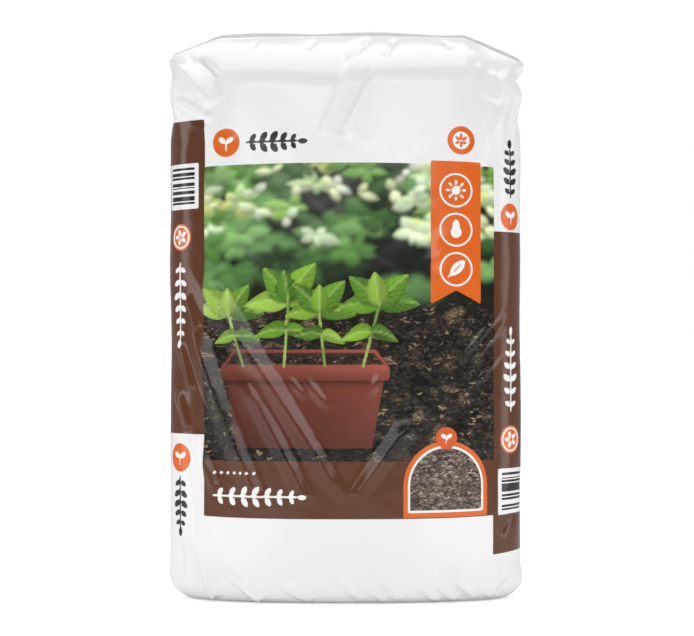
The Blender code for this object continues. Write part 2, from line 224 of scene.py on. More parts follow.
# Creases of each face, in millimetres: start and end (across, up), rise, and width on the left and on the
# right as it runs. A negative rise is a valley. Flats, fine and base ones too, are broader tents: start,
# end, slope, the two widths, and where it isn't plainTent, the share by which they shrink and the bow.
creaseSettings = {
    "front": [
        # left shoulder and under the left ear
        (-206, 754, -176, 722, -6, 2.8, 4), (-238, 700, -184, 664, 5.2, 8, 4),
        (-232, 700, -200, 688, -2.4, 3, 5), (-228, 668, -150, 628, 1.8, 9, 7),
        # pleats that run down from the seal
        (36, 790, 2, 742, -7.2, 3, 5), (18, 766, -36, 636, 4.4, 10, 6), (36, 740, -14, 640, -3, 8, 6),
        (74, 790, 54, 750, -5.6, 3, 5), (54, 752, 0, 650, 3, 9, 6), (-40, 786, -52, 762, -2.2, 3.5, 5),
        (130, 786, 148, 764, -2, 3.5, 5), (-118, 786, -132, 760, -1.6, 4, 6),
        # right shoulder
        (226, 735, 196, 690, 2.8, 6, 8), (240, 740, 214, 700, -2.2, 3.5, 5),
        (234, 715, 200, 640, 2.6, 4, 7), (196, 690, 186, 600, 3, 7, 12), (206, 738, 178, 722, -2, 5, 8),
        (236, 700, 222, 610, -2.6, 3.5, 6),
        # along the base
        (-229, 85, -226, 30, -3, 4, 6), (-197, 56, -182, 3, 3, 3.5, 7), (-188, 22, -174, 1, -4, 3.5, 5),
        (-60, 16, -44, 1, -3, 3.5, 5), (12, 16, 26, 1, -3.4, 3.5, 5), (54, 26, 74, 1, -4.4, 3, 5),
        (152, 26, 178, 1, -4, 3, 5), (204, 12, 238, 36, -3.6, 3.5, 6), (236, 126, 214, 92, -2, 3, 5),
    ],
    "frontFlats": [
        # across the picture, where the film is drawn tight from the upper left
        (-230, 480, 0, 137, 0.29, 26, 25, 0.55, 5), (-218, 402, -112, 126, 0.42, 18, 18, 0.2, -4),
        (-142, 316, -48, 134, 0.36, 16, 15, 0.3, 0), (-214, 236, -176, 150, 0.4, 14, 11, 0.3, 0),
        (92, 254, 9, 139, 0.34, 15, 20, 0.4, 0), (-236, 292, -216, 236, 0.42, 8.5, 6),
        (-234, 366, -212, 290, 0.36, 11, 8, 0.3, 0), (-224, 430, -204, 372, 0.32, 11, 8, 0.3, 0),
        # from the left ear down to the edge of the panel
        (-240, 748, -176, 684, 0.5, 18, 26, 0.1, 0), (-232, 700, -182, 662, 0.28, 12, 6, 0.3, 0),
        # right shoulder
        (176, 742, 232, 706, 0.2, 12, 10), (236, 742, 206, 686, 0.38, 9, 11),
        (237, 724, 211, 650, 0.4, 8, 9),
    ],
    "frontFine": [
        # short ones that hang from taut film, on the picture and on the right of the panel
        (-84, 318, -53, 279, 0.26, 8, 7), (-64, 320, -21, 264, 0.28, 10, 9, 0.3, 0),
        (46, 320, 35, 282, 0.32, 6, 8), (230, 420, 156, 330, 0.3, 5.5, 6),
        (232, 402, 174, 330, 0.3, 5, 5.5), (222, 352, 176, 296, 0.3, 5.5, 6),
        (142, 512, 118, 452, 0.2, 18, 22, 0.3, 0),
    ],
    "frontBase": [
        (-216, 124, -181, 4, 0.34, 18, 9), (-202, 80, -116, 3, 0.46, 13, 7),
        (-104, 38, -46, 3, 0.44, 11, 7), (-26, 56, 23, 3, 0.46, 11, 7), (16, 42, 54, 3, 0.44, 9, 6),
        (30, 66, 71, 3, 0.5, 11, 6), (88, 36, 127, 3, 0.46, 9, 6), (106, 48, 150, 3, 0.44, 9, 6),
        (122, 68, 176, 4, 0.46, 12, 7), (238, 60, 196, 6, 0.3, 8, 12),
    ],
    "back": [
        (-214, 744, -170, 690, -3.4, 4, 6), (206, 700, 192, 610, 2.6, 8, 11),
        (-60, 786, -20, 690, 3.4, 7, 11), (-30, 786, -14, 752, -3.6, 4, 6), (90, 786, 66, 700, 3, 10, 7),
        (60, 786, 52, 756, -3, 4, 6), (-150, 560, -90, 430, 1.8, 6, 12), (-208, 44, -192, 6, 2.8, 4, 7),
        (-100, 30, -70, 2, -3, 4, 6), (-30, 26, -6, 2, -2.6, 4, 6), (76, 30, 50, 2, -3, 6, 4),
        (150, 30, 124, 2, -3, 6, 4),
    ],
    "backFlats": [
        (-238, 748, -168, 660, 0.32, 9, 24), (238, 744, 172, 664, 0.32, 24, 9),
        (205, 470, 30, 190, -0.24, 26, 6, 0.55, -10), (190, 330, 80, 130, -0.24, 21, 6, 0.55, 0),
        (-205, 360, -100, 170, -0.24, 6, 20, 0.5, 0), (-60, 620, -110, 500, 0.18, 16, 6, 0.4, 0),
    ],
    "backFine": [],
    "backBase": [
        (-216, 120, -180, 4, 0.32, 18, 9), (218, 116, 176, 4, 0.32, 9, 18),
        (-168, 66, -104, 3, 0.34, 14, 8), (150, 70, 96, 3, 0.34, 8, 14), (-60, 44, -28, 3, 0.32, 10, 7),
        (34, 50, 0, 3, 0.32, 7, 11),
    ],
    "crestRound": 0.0012,  # radius that keeps a crest from being a knife edge
    "footRound": 0.18,  # share of a flat's width over which its foot is rounded
    "plainTent": (0.2, 0),
    "fades": (0.22, 0.1, 0),  # shares of the length over which the two ends die away, and the least length
    "fineFades": (0.6, 0.3, 0.014),
    "baseFades": (0.62, 0.02, 0),
    "steepening": 0.25,  # share by which a flat's slope grows towards its end
    "waveTilt": 1.2,  # steepest heading of a wave, in radians
    "waves": {  # slow unevenness of the settled compost, and shallow wrinkles over it
        "lumps": {"rise": 0.0004, "lengths": (0.07, 0.21), "count": 24, "seed": 3},
        "wrinkles": {"rise": 0.00006, "lengths": (0.016, 0.045), "count": 40, "seed": 5},
    },
    "faceTurn": 2.5,  # how quickly the front's creases give way to the back's round a side
    "sideCalm": 0.35,  # share of the depth over which creases die away towards a side
    "sealCalm": 0.01,  # and height over which all relief does, under the seal
}


def metres(*lengths):
    # Millimetres over 1000
    return [v / 1000 for v in lengths]


def alongCrease(x, z, line, fades, bow=0.0):
    # Share of the way along a crease, distance to the right of it as it runs, and a factor that fades its
    # two ends by S-curves. A bow shifts it sideways by bow * 4t(1 - t).
    startX, startZ, endX, endZ = line
    begin, finish, least = fades
    length = math.hypot(endX - startX, endZ - startZ)
    dx, dz = (endX - startX) / length, (endZ - startZ) / length
    t = ((x - startX) * dx + (z - startZ) * dz) / length
    off = (x - startX) * dz - (z - startZ) * dx
    inside = np.clip(t, 0, 1)
    ends = smooth(t / max(begin, least / length)) * smooth((1 - t) / max(finish, least / length))
    return inside, off + bow * 4 * inside * (1 - inside), ends


def creaseRise(x, z, creases):
    # Sum of ridges. Each is rise * exp(-d / width), where d is the distance from the crease's line,
    # rounded at the crest, and the width differs on its two sides.
    crest = creaseSettings["crestRound"]
    total = np.zeros_like(x)
    for crease in creases:
        *line, rise, left, right = metres(*crease)
        _, off, ends = alongCrease(x, z, line, creaseSettings["fades"])
        width = left + (right - left) * smooth(0.5 + off / (2 * crest))
        total += rise * np.exp(-(np.sqrt(off ** 2 + crest ** 2) - crest) / width) * ends
    return total


def flatRise(x, z, flats, fades):
    # Sum of tents with flat sides. The wider side has the given slope, which grows along the run, and
    # both sides shrink, so the rise is slope * width of the wider side. A foot is rounded by a parabola.
    c = creaseSettings
    crest, foot = c["crestRound"], c["footRound"]
    total = np.zeros_like(x)
    for flat in flats:
        *line, left, right = metres(*flat[:4], *flat[5:7])
        taper, bow = flat[7:] or c["plainTent"]
        t, off, ends = alongCrease(x, z, line, fades, bow / 1000)
        shrink = 1 - taper * t
        near = 1 - (np.sqrt(off ** 2 + crest ** 2) - crest) / (np.where(off > 0, right, left) * shrink)
        tent = np.where(near > foot, near, np.clip(near + foot, 0, None) ** 2 / (4 * foot))
        total += flat[4] * (1 + c["steepening"] * t) * max(left, right) * shrink * tent * ends
    return total


def faceRise(face, x, z):
    # Sum of the ridges and tents of one face of the bag
    c = creaseSettings
    total = creaseRise(x, z, c[face])
    for part, fades in (("Flats", "fades"), ("Fine", "fineFades"), ("Base", "baseFades")):
        total += flatRise(x, z, c[face + part], c[fades])
    return total


def softWaves(along, level, turn, rise, lengths, count, seed):
    # Sum of cosine waves of random direction, length and phase, scaled to the rise. Each fits the tube a
    # whole number of times, so that the pattern closes round the bag.
    random = np.random.default_rng(seed)
    total = np.zeros(np.broadcast(along, level).shape)
    for _ in range(count):
        length = random.uniform(*lengths)
        heading = random.uniform(-creaseSettings["waveTilt"], creaseSettings["waveTilt"])
        turns = round(turn / length * math.cos(heading))
        phase = random.uniform(0, 2 * math.pi)
        total += np.cos(2 * math.pi * (turns * along / turn + level / length * math.sin(heading)) + phase)
    return rise * total * math.sqrt(2 / count)


def shapeFilm():
    # The plain film, with its ears, dents, creases, lumps and wrinkles, and the top seal above it: two
    # layers that lean back in a straight line and wave up and down by a sine that grows with the square
    # of the way out. Returns the grid of points, film distance and film height as grids, the steps along
    # the front and the distance once round.
    f, c = filmSettings, creaseSettings
    across, deep, along, count = sectionColumns()
    x, y, z, level = rowsOfFilm(across, deep)
    turn = 2 * (along[count] - along[0])
    level2 = level[:, None] + 0 * x
    fall, step = earShape(x, z)
    x, z = x + step, z - fall
    foot = f["foot"]
    for side in (-1, 1):
        near = smooth((side * x - foot["from"]) / foot["over"]) * smooth((foot["top"] - z) / foot["fade"])
        x = x + side * foot["reach"][side > 0] * near
    grid = softenRows(np.stack([x, y, z], axis=2), level, roofFoot, f["roofFootBlend"], f["roofFootPasses"])
    grid[..., 0] = sideDent(grid[..., 0], grid[..., 1], grid[..., 2])

    front, back = (faceRise(face, grid[..., 0], grid[..., 2]) for face in ("front", "back"))
    facing = smooth(0.5 - deep * c["faceTurn"])
    push = (front * facing + back * (1 - facing)) * smooth(np.abs(deep) / c["sideCalm"])
    for wave in c["waves"].values():
        push += softWaves(along, level2, turn, **wave)
    calm = smooth(grid[..., 2] / f["baseCalm"]) * smooth((sealHeight - level2) / c["sealCalm"])
    grid = grid + gridNormals(grid) * (push * calm)[..., None]

    width, lean = f["sealWidth"], f["sealLean"]
    out = np.linspace(0, width, round(width / f["pitch"]) + 1)[:, None]
    last = grid[-1]
    half = np.sign(deep) * f["sealThickness"] / 2
    ripple = f["sealRipple"] * np.sin(f["rippleTurn"] * last[:, 0] / halfWidth) * (out / width) ** 2
    sealX = last[:, 0] + 0 * out
    sealY = out * math.cos(lean) + half * math.sin(lean)
    sealZ = last[:, 2] + out * math.sin(lean) - half * math.cos(lean) + ripple
    grid = np.vstack([grid[:-1], np.stack([sealX, sealY, sealZ], axis=2)])
    level = np.concatenate([level[:-1], sealHeight + out[:, 0]])
    wrapped = np.where(along > turn / 2, along - turn, along)
    return grid, wrapped + 0 * grid[..., 0], level[:, None] + 0 * grid[..., 0], count, turn


filmGrid, filmAlong, filmLevel, frontSteps, filmTurn = shapeFilm()
print("film shaped:", filmGrid.shape[:2], "flat width", round(filmTurn / 2, 4))
panelSeen = {"edges": (-0.196, 0.204), "height": 0.3}  # printed panel as seen from the front
frontRow = np.argmin(np.abs(filmLevel[:, 0] - panelSeen["height"]))
seenRow, alongRow = filmGrid[frontRow, :frontSteps + 1, 0], filmAlong[frontRow, :frontSteps + 1]
panelLeft, panelRight = (np.interp(v, seenRow, alongRow) for v in panelSeen["edges"])
sideMiddle = filmTurn / 4
print("panel edges on the film:", round(panelLeft, 4), round(panelRight, 4), "side", round(sideMiddle, 4))


# Distances on the flat film, as whole arrays: negative inside the shape. All are in metres.
def discDistance(s, h, centre, radius):
    # Distance from the centre, less the radius
    return np.hypot(s - centre[0], h - centre[1]) - radius


def boxDistance(s, h, centre, half, corner=0.0):
    # Distance from a box shrunk by its corner radius, less that radius
    outS = np.abs(s - centre[0]) - half[0] + corner
    outH = np.abs(h - centre[1]) - half[1] + corner
    return np.hypot(np.maximum(outS, 0), np.maximum(outH, 0)) + np.minimum(np.maximum(outS, outH), 0) - corner


def fieldDistance(s, h, left, right, low, high, corner=0.0):
    # The same box, from its four edges
    half = ((right - left) / 2, (high - low) / 2)
    return boxDistance(s, h, (left + half[0], low + half[1]), half, corner)


def strokeDistance(s, h, start, end, radius):
    # Distance from the nearest point of a straight stroke, less half its width
    ds, dh = end[0] - start[0], end[1] - start[1]
    t = np.clip(((s - start[0]) * ds + (h - start[1]) * dh) / (ds * ds + dh * dh), 0, 1)
    return np.hypot(s - start[0] - t * ds, h - start[1] - t * dh) - radius


def lensDistance(s, h, base, tip, halfWidth):
    # Common part of two equal discs that meet at the base and the tip
    ds, dh = tip[0] - base[0], tip[1] - base[1]
    length = math.hypot(ds, dh)
    radius = (length * length / 4 + halfWidth * halfWidth) / (2 * halfWidth)
    shift = (radius - halfWidth) / length
    middle = ((base[0] + tip[0]) / 2, (base[1] + tip[1]) / 2)
    return np.maximum(*[discDistance(s, h, (middle[0] - dh * aside, middle[1] + ds * aside), radius)
                        for aside in (shift, -shift)])


def polar(centre, angle, radius):
    # Point at an angle and a radius from the centre
    return centre[0] + radius * math.cos(angle), centre[1] + radius * math.sin(angle)


def join(*distances):
    # The nearest of several shapes
    return np.minimum.reduce(distances)


def sprigDistance(s, h, start, end, pairs, leafLength, leafWidth):
    # A straight stem with pairs of lens leaves that shrink away from its middle by 0.35 |2t - 0.8|, and one
    # leaf at its tip
    heading = math.atan2(end[1] - start[1], end[0] - start[0])
    tip = polar(end, heading, leafLength * 0.8)
    shapes = [strokeDistance(s, h, start, end, 0.0015), lensDistance(s, h, end, tip, leafWidth * 0.8)]
    for k in range(pairs):
        t = (k + 0.35) / pairs
        node = (start[0] + t * (end[0] - start[0]), start[1] + t * (end[1] - start[1]))
        size = leafLength * (1 - 0.35 * abs(2 * t - 0.8))
        for angle in (heading - 0.95, heading + 0.95):
            leaf = (polar(node, angle, 0.0016), polar(node, angle, size))
            shapes.append(lensDistance(s, h, *leaf, leafWidth * size / leafLength))
    return join(*shapes)


def sproutDistance(s, h, centre, size):
    # Two lens leaves on a short stem, upright. Every length is a share of the size.
    foot, fork = ((centre[0], centre[1] - share * size) for share in (0.75, 0.05))
    leaves = [lensDistance(s, h, fork, polar(fork, angle, 0.95 * size), 0.27 * size)
              for angle in (0.62, math.pi - 0.62)]
    return join(strokeDistance(s, h, foot, fork, 0.09 * size), *leaves)


def rosetteDistance(s, h, centre, inner, outer, petals, halfWidth):
    # Lens petals at equal angles round a centre
    angles = [2 * math.pi * (k + 0.5) / petals for k in range(petals)]
    return join(*[lensDistance(s, h, polar(centre, angle, inner), polar(centre, angle, outer), halfWidth)
                  for angle in angles])


def screen(*colour):
    # Display colour, 0 to 255, as linear light
    value = np.array(colour, dtype=float) / 255
    return np.where(value <= 0.04045, value / 12.92, ((value + 0.055) / 1.055) ** 2.4)


# Print: plain fields, and small ornaments in the places of the words. Places are film distance from the
# middle of the front and film height, in metres.
printSettings = {
    "picture": (0.1965, 0.603),  # low and high edge
    "bandBottom": 0.1235,
    "underPrint": 0.0012,  # how far the brown runs on under the picture
    "leftStrip": (0.231, 0.668),
    "rightStrip": (0.07, 0.5125),
    "emblemRadius": 0.0195,
    "emblems": ((-0.1655, 0.634), (-0.2405, 0.198), (0.2405, 0.5345)),
    "badges": ((-0.2405, 0.505), (0.2405, 0.223)),
    "seal": (0.16, 0.637),
    "pennant": {"edges": (0.117, 0.189, 0.41, 0.608), "notch": 0.019, "rings": (0.568, 0.513, 0.458)},
    "ringRadius": 0.0225,
    "ringLine": 0.0013,
    "swatch": {"centre": (0.139, 0.163), "radius": 0.06, "border": 0.0062, "line": 0.003},
    "keystone": {"radius": 0.015, "rise": 0.004, "motif": 0.0105},
    "labels": ((-0.2375, 0.577, 0.03, 0.032), (0.245, 0.1525, 0.028, 0.031)),
    "barsInset": (0.0065, 0.0055),
    "dots": {"first": -0.182, "step": 0.0095, "count": 7, "height": 0.1805, "radius": 0.0024},
    # Sprigs: start, end, pairs of leaves, and length and half width of a leaf
    "paleSprigs": (((-0.184, 0.15), (-0.066, 0.15), 7, 0.0175, 0.0042),
                   ((-0.2405, 0.468), (-0.2405, 0.362), 6, 0.0175, 0.0042),
                   ((0.2405, 0.262), (0.2405, 0.366), 6, 0.0175, 0.0042)),
    "darkSprigs": (((-0.137, 0.633), (-0.066, 0.633), 5, 0.019, 0.0048),
                   ((-0.2405, 0.172), (-0.2405, 0.104), 5, 0.018, 0.0046),
                   ((0.2405, 0.562), (0.2405, 0.63), 5, 0.018, 0.0046)),
}


def pennantMotifs(s, h, across, sun, drop, leaf):
    # A sun of a disc and eight strokes, a drop of a disc and a lens, and a leaf of a lens less its vein,
    # each at its height. Gives the distance to them all.
    disc, stroke, lens = (partial(shape, s, h) for shape in (discDistance, strokeDistance, lensDistance))
    sun, base = (across, sun), (across, drop - 0.0035)
    rays = [stroke(polar(sun, angle, 0.0096), polar(sun, angle, 0.0134), 0.0017)
            for angle in np.arange(8) * math.pi / 4]
    low, inner, outer, high = ((across + step, leaf + step) for step in (-0.009, -0.004, 0.007, 0.0125))
    stalk = stroke((across - 0.0115, leaf - 0.011), inner, 0.0012)
    blade = np.maximum(lens(low, high, 0.0072), -stroke(inner, outer, 0.0011))
    cone = lens(base, (across, drop + 0.015), 0.0052)
    return join(disc(sun, 0.0062), *rays, disc(base, 0.008), cone, stalk, blade)


def printLayers(s, h):
    # Distance to each ink on the film, as one array for each ink. A ring is kept as the distance to its
    # middle line, which stays round between the grid's points.
    p = printSettings
    disc, box, field, sprig, sprout, rosette = (partial(shape, s, h) for shape in (
        discDistance, boxDistance, fieldDistance, sprigDistance, sproutDistance, rosetteDistance))
    under, radius = p["underPrint"], p["emblemRadius"]
    low, high = p["picture"]
    brown = [field(panelLeft, panelRight, p["bandBottom"] - under, low + under)]
    for sign, edge, (foot, top) in ((-1, -panelLeft, p["leftStrip"]), (1, panelRight, p["rightStrip"])):
        half = (sideMiddle - edge + under, (top - foot) / 2)
        brown.append(box((sign * sideMiddle, (top + foot) / 2), half))

    left, right, foot, top = p["pennant"]["edges"]
    across, slope = (left + right) / 2, 2 * p["pennant"]["notch"] / (right - left)
    notch = (foot + p["pennant"]["notch"] - np.abs(s - across) * slope - h) / math.hypot(1, slope)
    pennant = np.maximum(field(left, right, foot, top, 0.002), notch)
    window = p["swatch"]
    (cs, ch), reach = window["centre"], window["radius"]
    arch = np.where(h > ch, disc((cs, ch), reach), np.maximum(np.abs(s - cs) - reach, p["bandBottom"] - h))
    keystone = (cs, ch + reach + p["keystone"]["rise"])
    rings = [disc(at, radius * 0.8) for at in p["badges"]]
    rings += [disc((across, at), p["ringRadius"]) for at in p["pennant"]["rings"]]
    row = p["dots"]
    dots = [disc((row["first"] + row["step"] * k, row["height"]), row["radius"]) for k in range(row["count"])]
    inset = p["barsInset"]
    return {
        "inkPicture": field(panelLeft, panelRight, low, high),
        "inkBrown": join(*brown),
        "inkOrange": join(pennant, arch, disc(p["seal"], radius),
                          *[disc(at, radius) for at in p["emblems"] + p["badges"]]),
        "inkLine": arch + window["border"],
        "inkSwatch": arch + window["border"] + window["line"],
        "inkKeystone": disc(keystone, p["keystone"]["radius"]),
        "inkKeystoneMotif": sprout(keystone, p["keystone"]["motif"]),
        "inkRings": join(*rings),
        "inkPale": join(
            disc(p["seal"], radius * 0.62), pennantMotifs(s, h, across, *p["pennant"]["rings"]),
            *[sprout(at, radius * 0.72) for at in p["emblems"]], *[sprig(*spec) for spec in p["paleSprigs"]],
            *[rosette(at, 0.002, radius * 0.64, 5, 0.0028) for at in p["badges"]], *dots),
        "inkOver": rosette(p["seal"], 0.0015, radius * 0.54, 6, 0.002),
        "inkDark": join(*[sprig(*spec) for spec in p["darkSprigs"]]),
        "inkLabel": join(*[box((at, up), (wide, tall)) for at, up, wide, tall in p["labels"]]),
        "inkBars": join(*[box((at, up), (wide - inset[0], tall - inset[1]))
                          for at, up, wide, tall in p["labels"]]),
    }


# Picture on the front: leaves out of focus above, soil below, and seedlings in a low trough. Colours are
# display colours, and sizes are metres on the film.
pictureSettings = {
    "horizon": 0.405,
    # Whorls, leaves in each, length, half width as a share of it, soft edge, cover, lowest and highest
    # place, seed, and tones
    "layers": (
        (320, 1, (0.01, 0.032), (0.2, 0.5), 0.009, 0.52, 0.19, 0.395, 11,  # clods, on the soil
         [(28, 26, 22), (106, 90, 68), (58, 50, 40), (134, 113, 88), (40, 37, 31), (26, 24, 21),
          (84, 72, 56)]),
        (30, 6, (0.03, 0.062), (0.3, 0.5), 0.016, 0.8, 0.427, 0.63, 12,  # far leaves
         [(48, 72, 42), (74, 112, 60), (30, 42, 28), (100, 142, 84), (56, 84, 48)]),
        (34, 6, (0.026, 0.052), (0.28, 0.46), 0.011, 0.85, 0.45, 0.63, 13,  # nearer
         [(100, 150, 74), (146, 186, 118), (74, 114, 58), (40, 58, 36), (124, 170, 100)]),
        (34, 5, (0.02, 0.044), (0.26, 0.44), 0.008, 0.9, 0.495, 0.63, 14,  # nearest
         [(150, 192, 96), (190, 220, 158), (114, 164, 80), (206, 218, 134), (214, 232, 192), (60, 92, 46)]),
        (26, 2, (0.014, 0.034), (0.24, 0.42), 0.008, 0.8, 0.515, 0.61, 15,  # glints
         [(234, 244, 220), (226, 236, 186), (218, 234, 206)]),
    ),
    "squash": 0.55,  # height of a whorl as a share of its width, seen from the side
    "topLight": 0.42,  # how much lighter a soft leaf gets towards its upper edge
    "whorlLight": (0.8, 1.15),  # range of lightness of a whorl, and of a leaf in it
    "leafLight": (0.72, 1.25),
    "horizonBlur": 0.05,
    "soil": (46, 41, 34),
    "shade": (24, 30, 22),
    "trough": {"left": -0.172, "right": 0.06, "foot": 0.214, "rimLow": 0.306, "rimHigh": 0.328,
               "inset": 0.018, "mouth": 0.02, "wall": 0.0035},
    "troughTones": {"body": (128, 66, 52), "lip": (150, 80, 64), "rim": (158, 86, 70), "inner": (74, 38, 32),
                    "soil": (56, 46, 39)},
    # Plants: place, height and lean. Blades: stem's middle or top, angle, length and bend.
    "plants": [(-0.14, 0.098, -0.02), (-0.084, 0.124, 0.006), (-0.028, 0.104, -0.008),
               (0.024, 0.118, 0.022)],
    "blades": [(0, 2.9, 0.034, 0.5), (0, 0.22, 0.032, -0.5), (1, 2.75, 0.05, 0.4), (1, 0.35, 0.048, -0.4),
               (1, 2.05, 0.056, 0.22), (1, 1.05, 0.055, -0.22), (1, 1.57, 0.042, 0.05)],
    "bladeTones": [(96, 146, 40), (126, 172, 52), (74, 122, 36), (150, 188, 74)],
    "bladeShape": {"width": 0.62, "margin": 0.0012, "ribs": 5},  # width as a share of the length
    "bladeLight": {"halves": (1.18, 0.78), "midrib": (0.55, 0.0012), "rib": (0.14, 0.16),
                   "rim": (0.35, 0.0018)},
    "vein": (186, 208, 120),
    "stem": (150, 168, 92),
    "nodes": (0.32, 0.62),  # heights at which the blades leave the stem, as shares of the plant's
    "fullPlant": 0.11,  # height of a plant whose blades have the lengths above
    "shadow": {"shift": (0.012, 0.004), "half": (0.108, 0.006), "share": 0.75, "blur": 0.03},
    "painted": (0.22, 0.185, 0.615),  # half width and heights of the film that is painted at all
}


def paintLeaves(colour, s, h, layer):
    # Lays soft lens leaves over the colours, back to front. They spread from the middle of a whorl, which
    # is seen from the side and so squashed, and each is lighter towards its upper edge.
    g = pictureSettings
    whorls, each, sizes, slim, blur, most, low, high, seed, tones = layer
    random = np.random.default_rng(seed)
    palette = [screen(*tone) for tone in tones]
    for _ in range(whorls):
        middle = (random.uniform(panelLeft - 0.01, panelRight + 0.01), random.uniform(low, high))
        whorlTone = palette[random.integers(len(palette))] * random.uniform(*g["whorlLight"])
        turn = random.uniform(0, 2 * math.pi)
        for leaf in range(each):
            size = random.uniform(*sizes)
            angle = turn + (leaf + random.uniform(-0.35, 0.35)) * 2 * math.pi / each
            tip = (middle[0] + size * math.cos(angle), middle[1] + g["squash"] * size * math.sin(angle))
            halfLeaf = size * random.uniform(*slim) * 0.6
            distance = lensDistance(s, h, middle, tip, halfLeaf)
            tone = whorlTone * random.uniform(*g["leafLight"])
            lift = (h - (middle[1] + tip[1]) / 2) / halfLeaf
            light = 1 + g["topLight"] * np.clip(lift, -1.3, 1.3)
            cover = most * smooth(0.5 - distance / blur)
            colour += cover[:, None] * (tone * light[:, None] - colour)
    return colour


def paintGround(s, h):
    # Soil below the horizon and shade above it, joined by an S-curve, under the soft clods and leaves
    g = pictureSettings
    above = smooth((h - g["horizon"]) / g["horizonBlur"] + 0.5)[:, None]
    colour = screen(*g["soil"]) * (1 - above) + screen(*g["shade"]) * above
    for layer in g["layers"]:
        colour = paintLeaves(colour, s, h, layer)
    return colour


def bladeDistance(s, h, base, angle, length, width, bend):
    # A broad leaf: its half width follows sin(pi t^0.7)^0.75 along a midrib that curves sideways by
    # bend times t squared. Also gives the place along and across the leaf.
    ds, dh = s - base[0], h - base[1]
    along = ds * math.cos(angle) + dh * math.sin(angle)
    t = np.clip(along / length, 0, 1)
    off = -ds * math.sin(angle) + dh * math.cos(angle) - bend * length * t ** 2
    past = np.abs(off) - width / 2 * np.sin(math.pi * t ** 0.7) ** 0.75
    beyond = np.maximum(np.maximum(-along, along - length), 0)
    return np.hypot(np.maximum(past, 0), beyond) + np.minimum(past, 0) * 0.8, along / length, off


def paintPlants(s, h):
    # Seedlings: a stem and pairs of blades that open outwards, each blade with a pale midrib and side
    # veins and one half lighter than the other. Gives the distance and the colours.
    g = pictureSettings
    tones = [screen(*tone) for tone in g["bladeTones"]]
    vein, stemTone = screen(*g["vein"]), screen(*g["stem"])
    colour = np.zeros((len(s), 3)) + tones[0]
    distance = np.full_like(s, 1.0)
    random = np.random.default_rng(21)
    foot = g["trough"]["rimHigh"] + 0.007  # the plants stand in the soil behind the lip
    shape, light = g["bladeShape"], g["bladeLight"]
    (midrib, midribWidth), (rib, ribWidth), (rim, rimWidth) = light["midrib"], light["rib"], light["rim"]
    for at, height, lean in g["plants"]:
        low, high = g["nodes"]
        nodes = ((at + lean * 0.5, foot + height * low), (at + lean, foot + height * high))
        stem = strokeDistance(s, h, (at, foot - 0.01), nodes[1], 0.002)
        inside = stem < 0
        colour[inside] = stemTone * (1.15 - 0.5 * (s[inside] > at + lean / 2)[:, None])
        distance = np.minimum(distance, stem)
        for node, angle, length, bend in g["blades"]:
            angle += random.uniform(-0.16, 0.16)
            length *= height / g["fullPlant"] * random.uniform(0.92, 1.08)
            width = length * shape["width"]
            blade, t, off = bladeDistance(s, h, nodes[node], angle, length, width, bend)
            inside = blade < shape["margin"]
            tone = tones[random.integers(len(tones))] * random.uniform(0.85, 1.1)
            half = np.where(off > 0, *light["halves"]) * (0.8 + 0.35 * np.clip(t, 0, 1))
            ribs = np.abs((t * shape["ribs"] - np.abs(off) / length * shape["ribs"]) % 1 - 0.5)
            pattern = midrib * hump(off, midribWidth) + rib * hump(ribs, ribWidth) * (np.abs(off) > 0.001)
            shaded = tone * half[:, None] * (1 - rim * np.exp(blade / rimWidth)[:, None])
            colour[inside] = (shaded + pattern[:, None] * (vein - shaded))[inside]
            distance = np.minimum(distance, blade)
    return distance, colour


def taperDistance(s, h, middle, low, high, halfLow, halfHigh):
    # Distance from a shape with level ends and straight sides that lean
    lean = (halfHigh - halfLow) / (high - low)
    side = (np.abs(s - middle) - halfLow - (h - low) * lean) / math.hypot(1, lean)
    return np.maximum(side, np.maximum(low - h, h - high))


def paintTrough(s, h):
    # A low trough, seen a little from above: a body that narrows downwards, a lip, and behind the lip
    # the inner wall, the soil and the far rim
    g = pictureSettings["trough"]
    tones = {name: screen(*tone) for name, tone in pictureSettings["troughTones"].items()}
    middle, half = (g["left"] + g["right"]) / 2, (g["right"] - g["left"]) / 2
    deep, wall, rimLow, rimHigh = g["inset"], g["wall"], g["rimLow"], g["rimHigh"]
    taper = partial(taperDistance, s, h, middle)
    body = taper(g["foot"], rimLow + 0.003, half - deep - 0.006, half - 0.007)
    lip = fieldDistance(s, h, g["left"], g["right"], rimLow, rimHigh, 0.004)
    rim = taper(rimHigh - 0.004, rimHigh + g["mouth"], half, half - deep)
    inner = taper(rimHigh - 0.003, rimHigh + g["mouth"] - wall, half - wall, half - deep - wall)
    soil = taper(rimHigh - 0.003, rimHigh + 0.6 * g["mouth"], half - 2 * wall, half - deep - wall)
    side = np.clip((s - g["left"]) / (2 * half), 0, 1)
    up = np.clip((h - g["foot"]) / (rimLow - g["foot"]), 0, 1)
    tone = 0.55 + 0.5 * side ** 1.3  # lighter to the right
    underLip = 1 - 0.55 * smooth((h - rimLow + 0.012) / 0.012)
    lipTone = tone * (0.7 + 0.5 * smooth((h - rimLow) / (rimHigh - rimLow)))
    colour = tones["body"] * (tone * (0.62 + 0.38 * up) * underLip)[:, None]
    for name, distance, light in (("rim", rim, tone), ("inner", inner, tone),
                                  ("soil", soil, 0.75 + 0.5 * side), ("lip", lip, lipTone)):
        colour = np.where((distance < 0)[:, None], tones[name] * light[:, None], colour)
    return join(body, lip, rim), colour, np.maximum(soil, -lip)


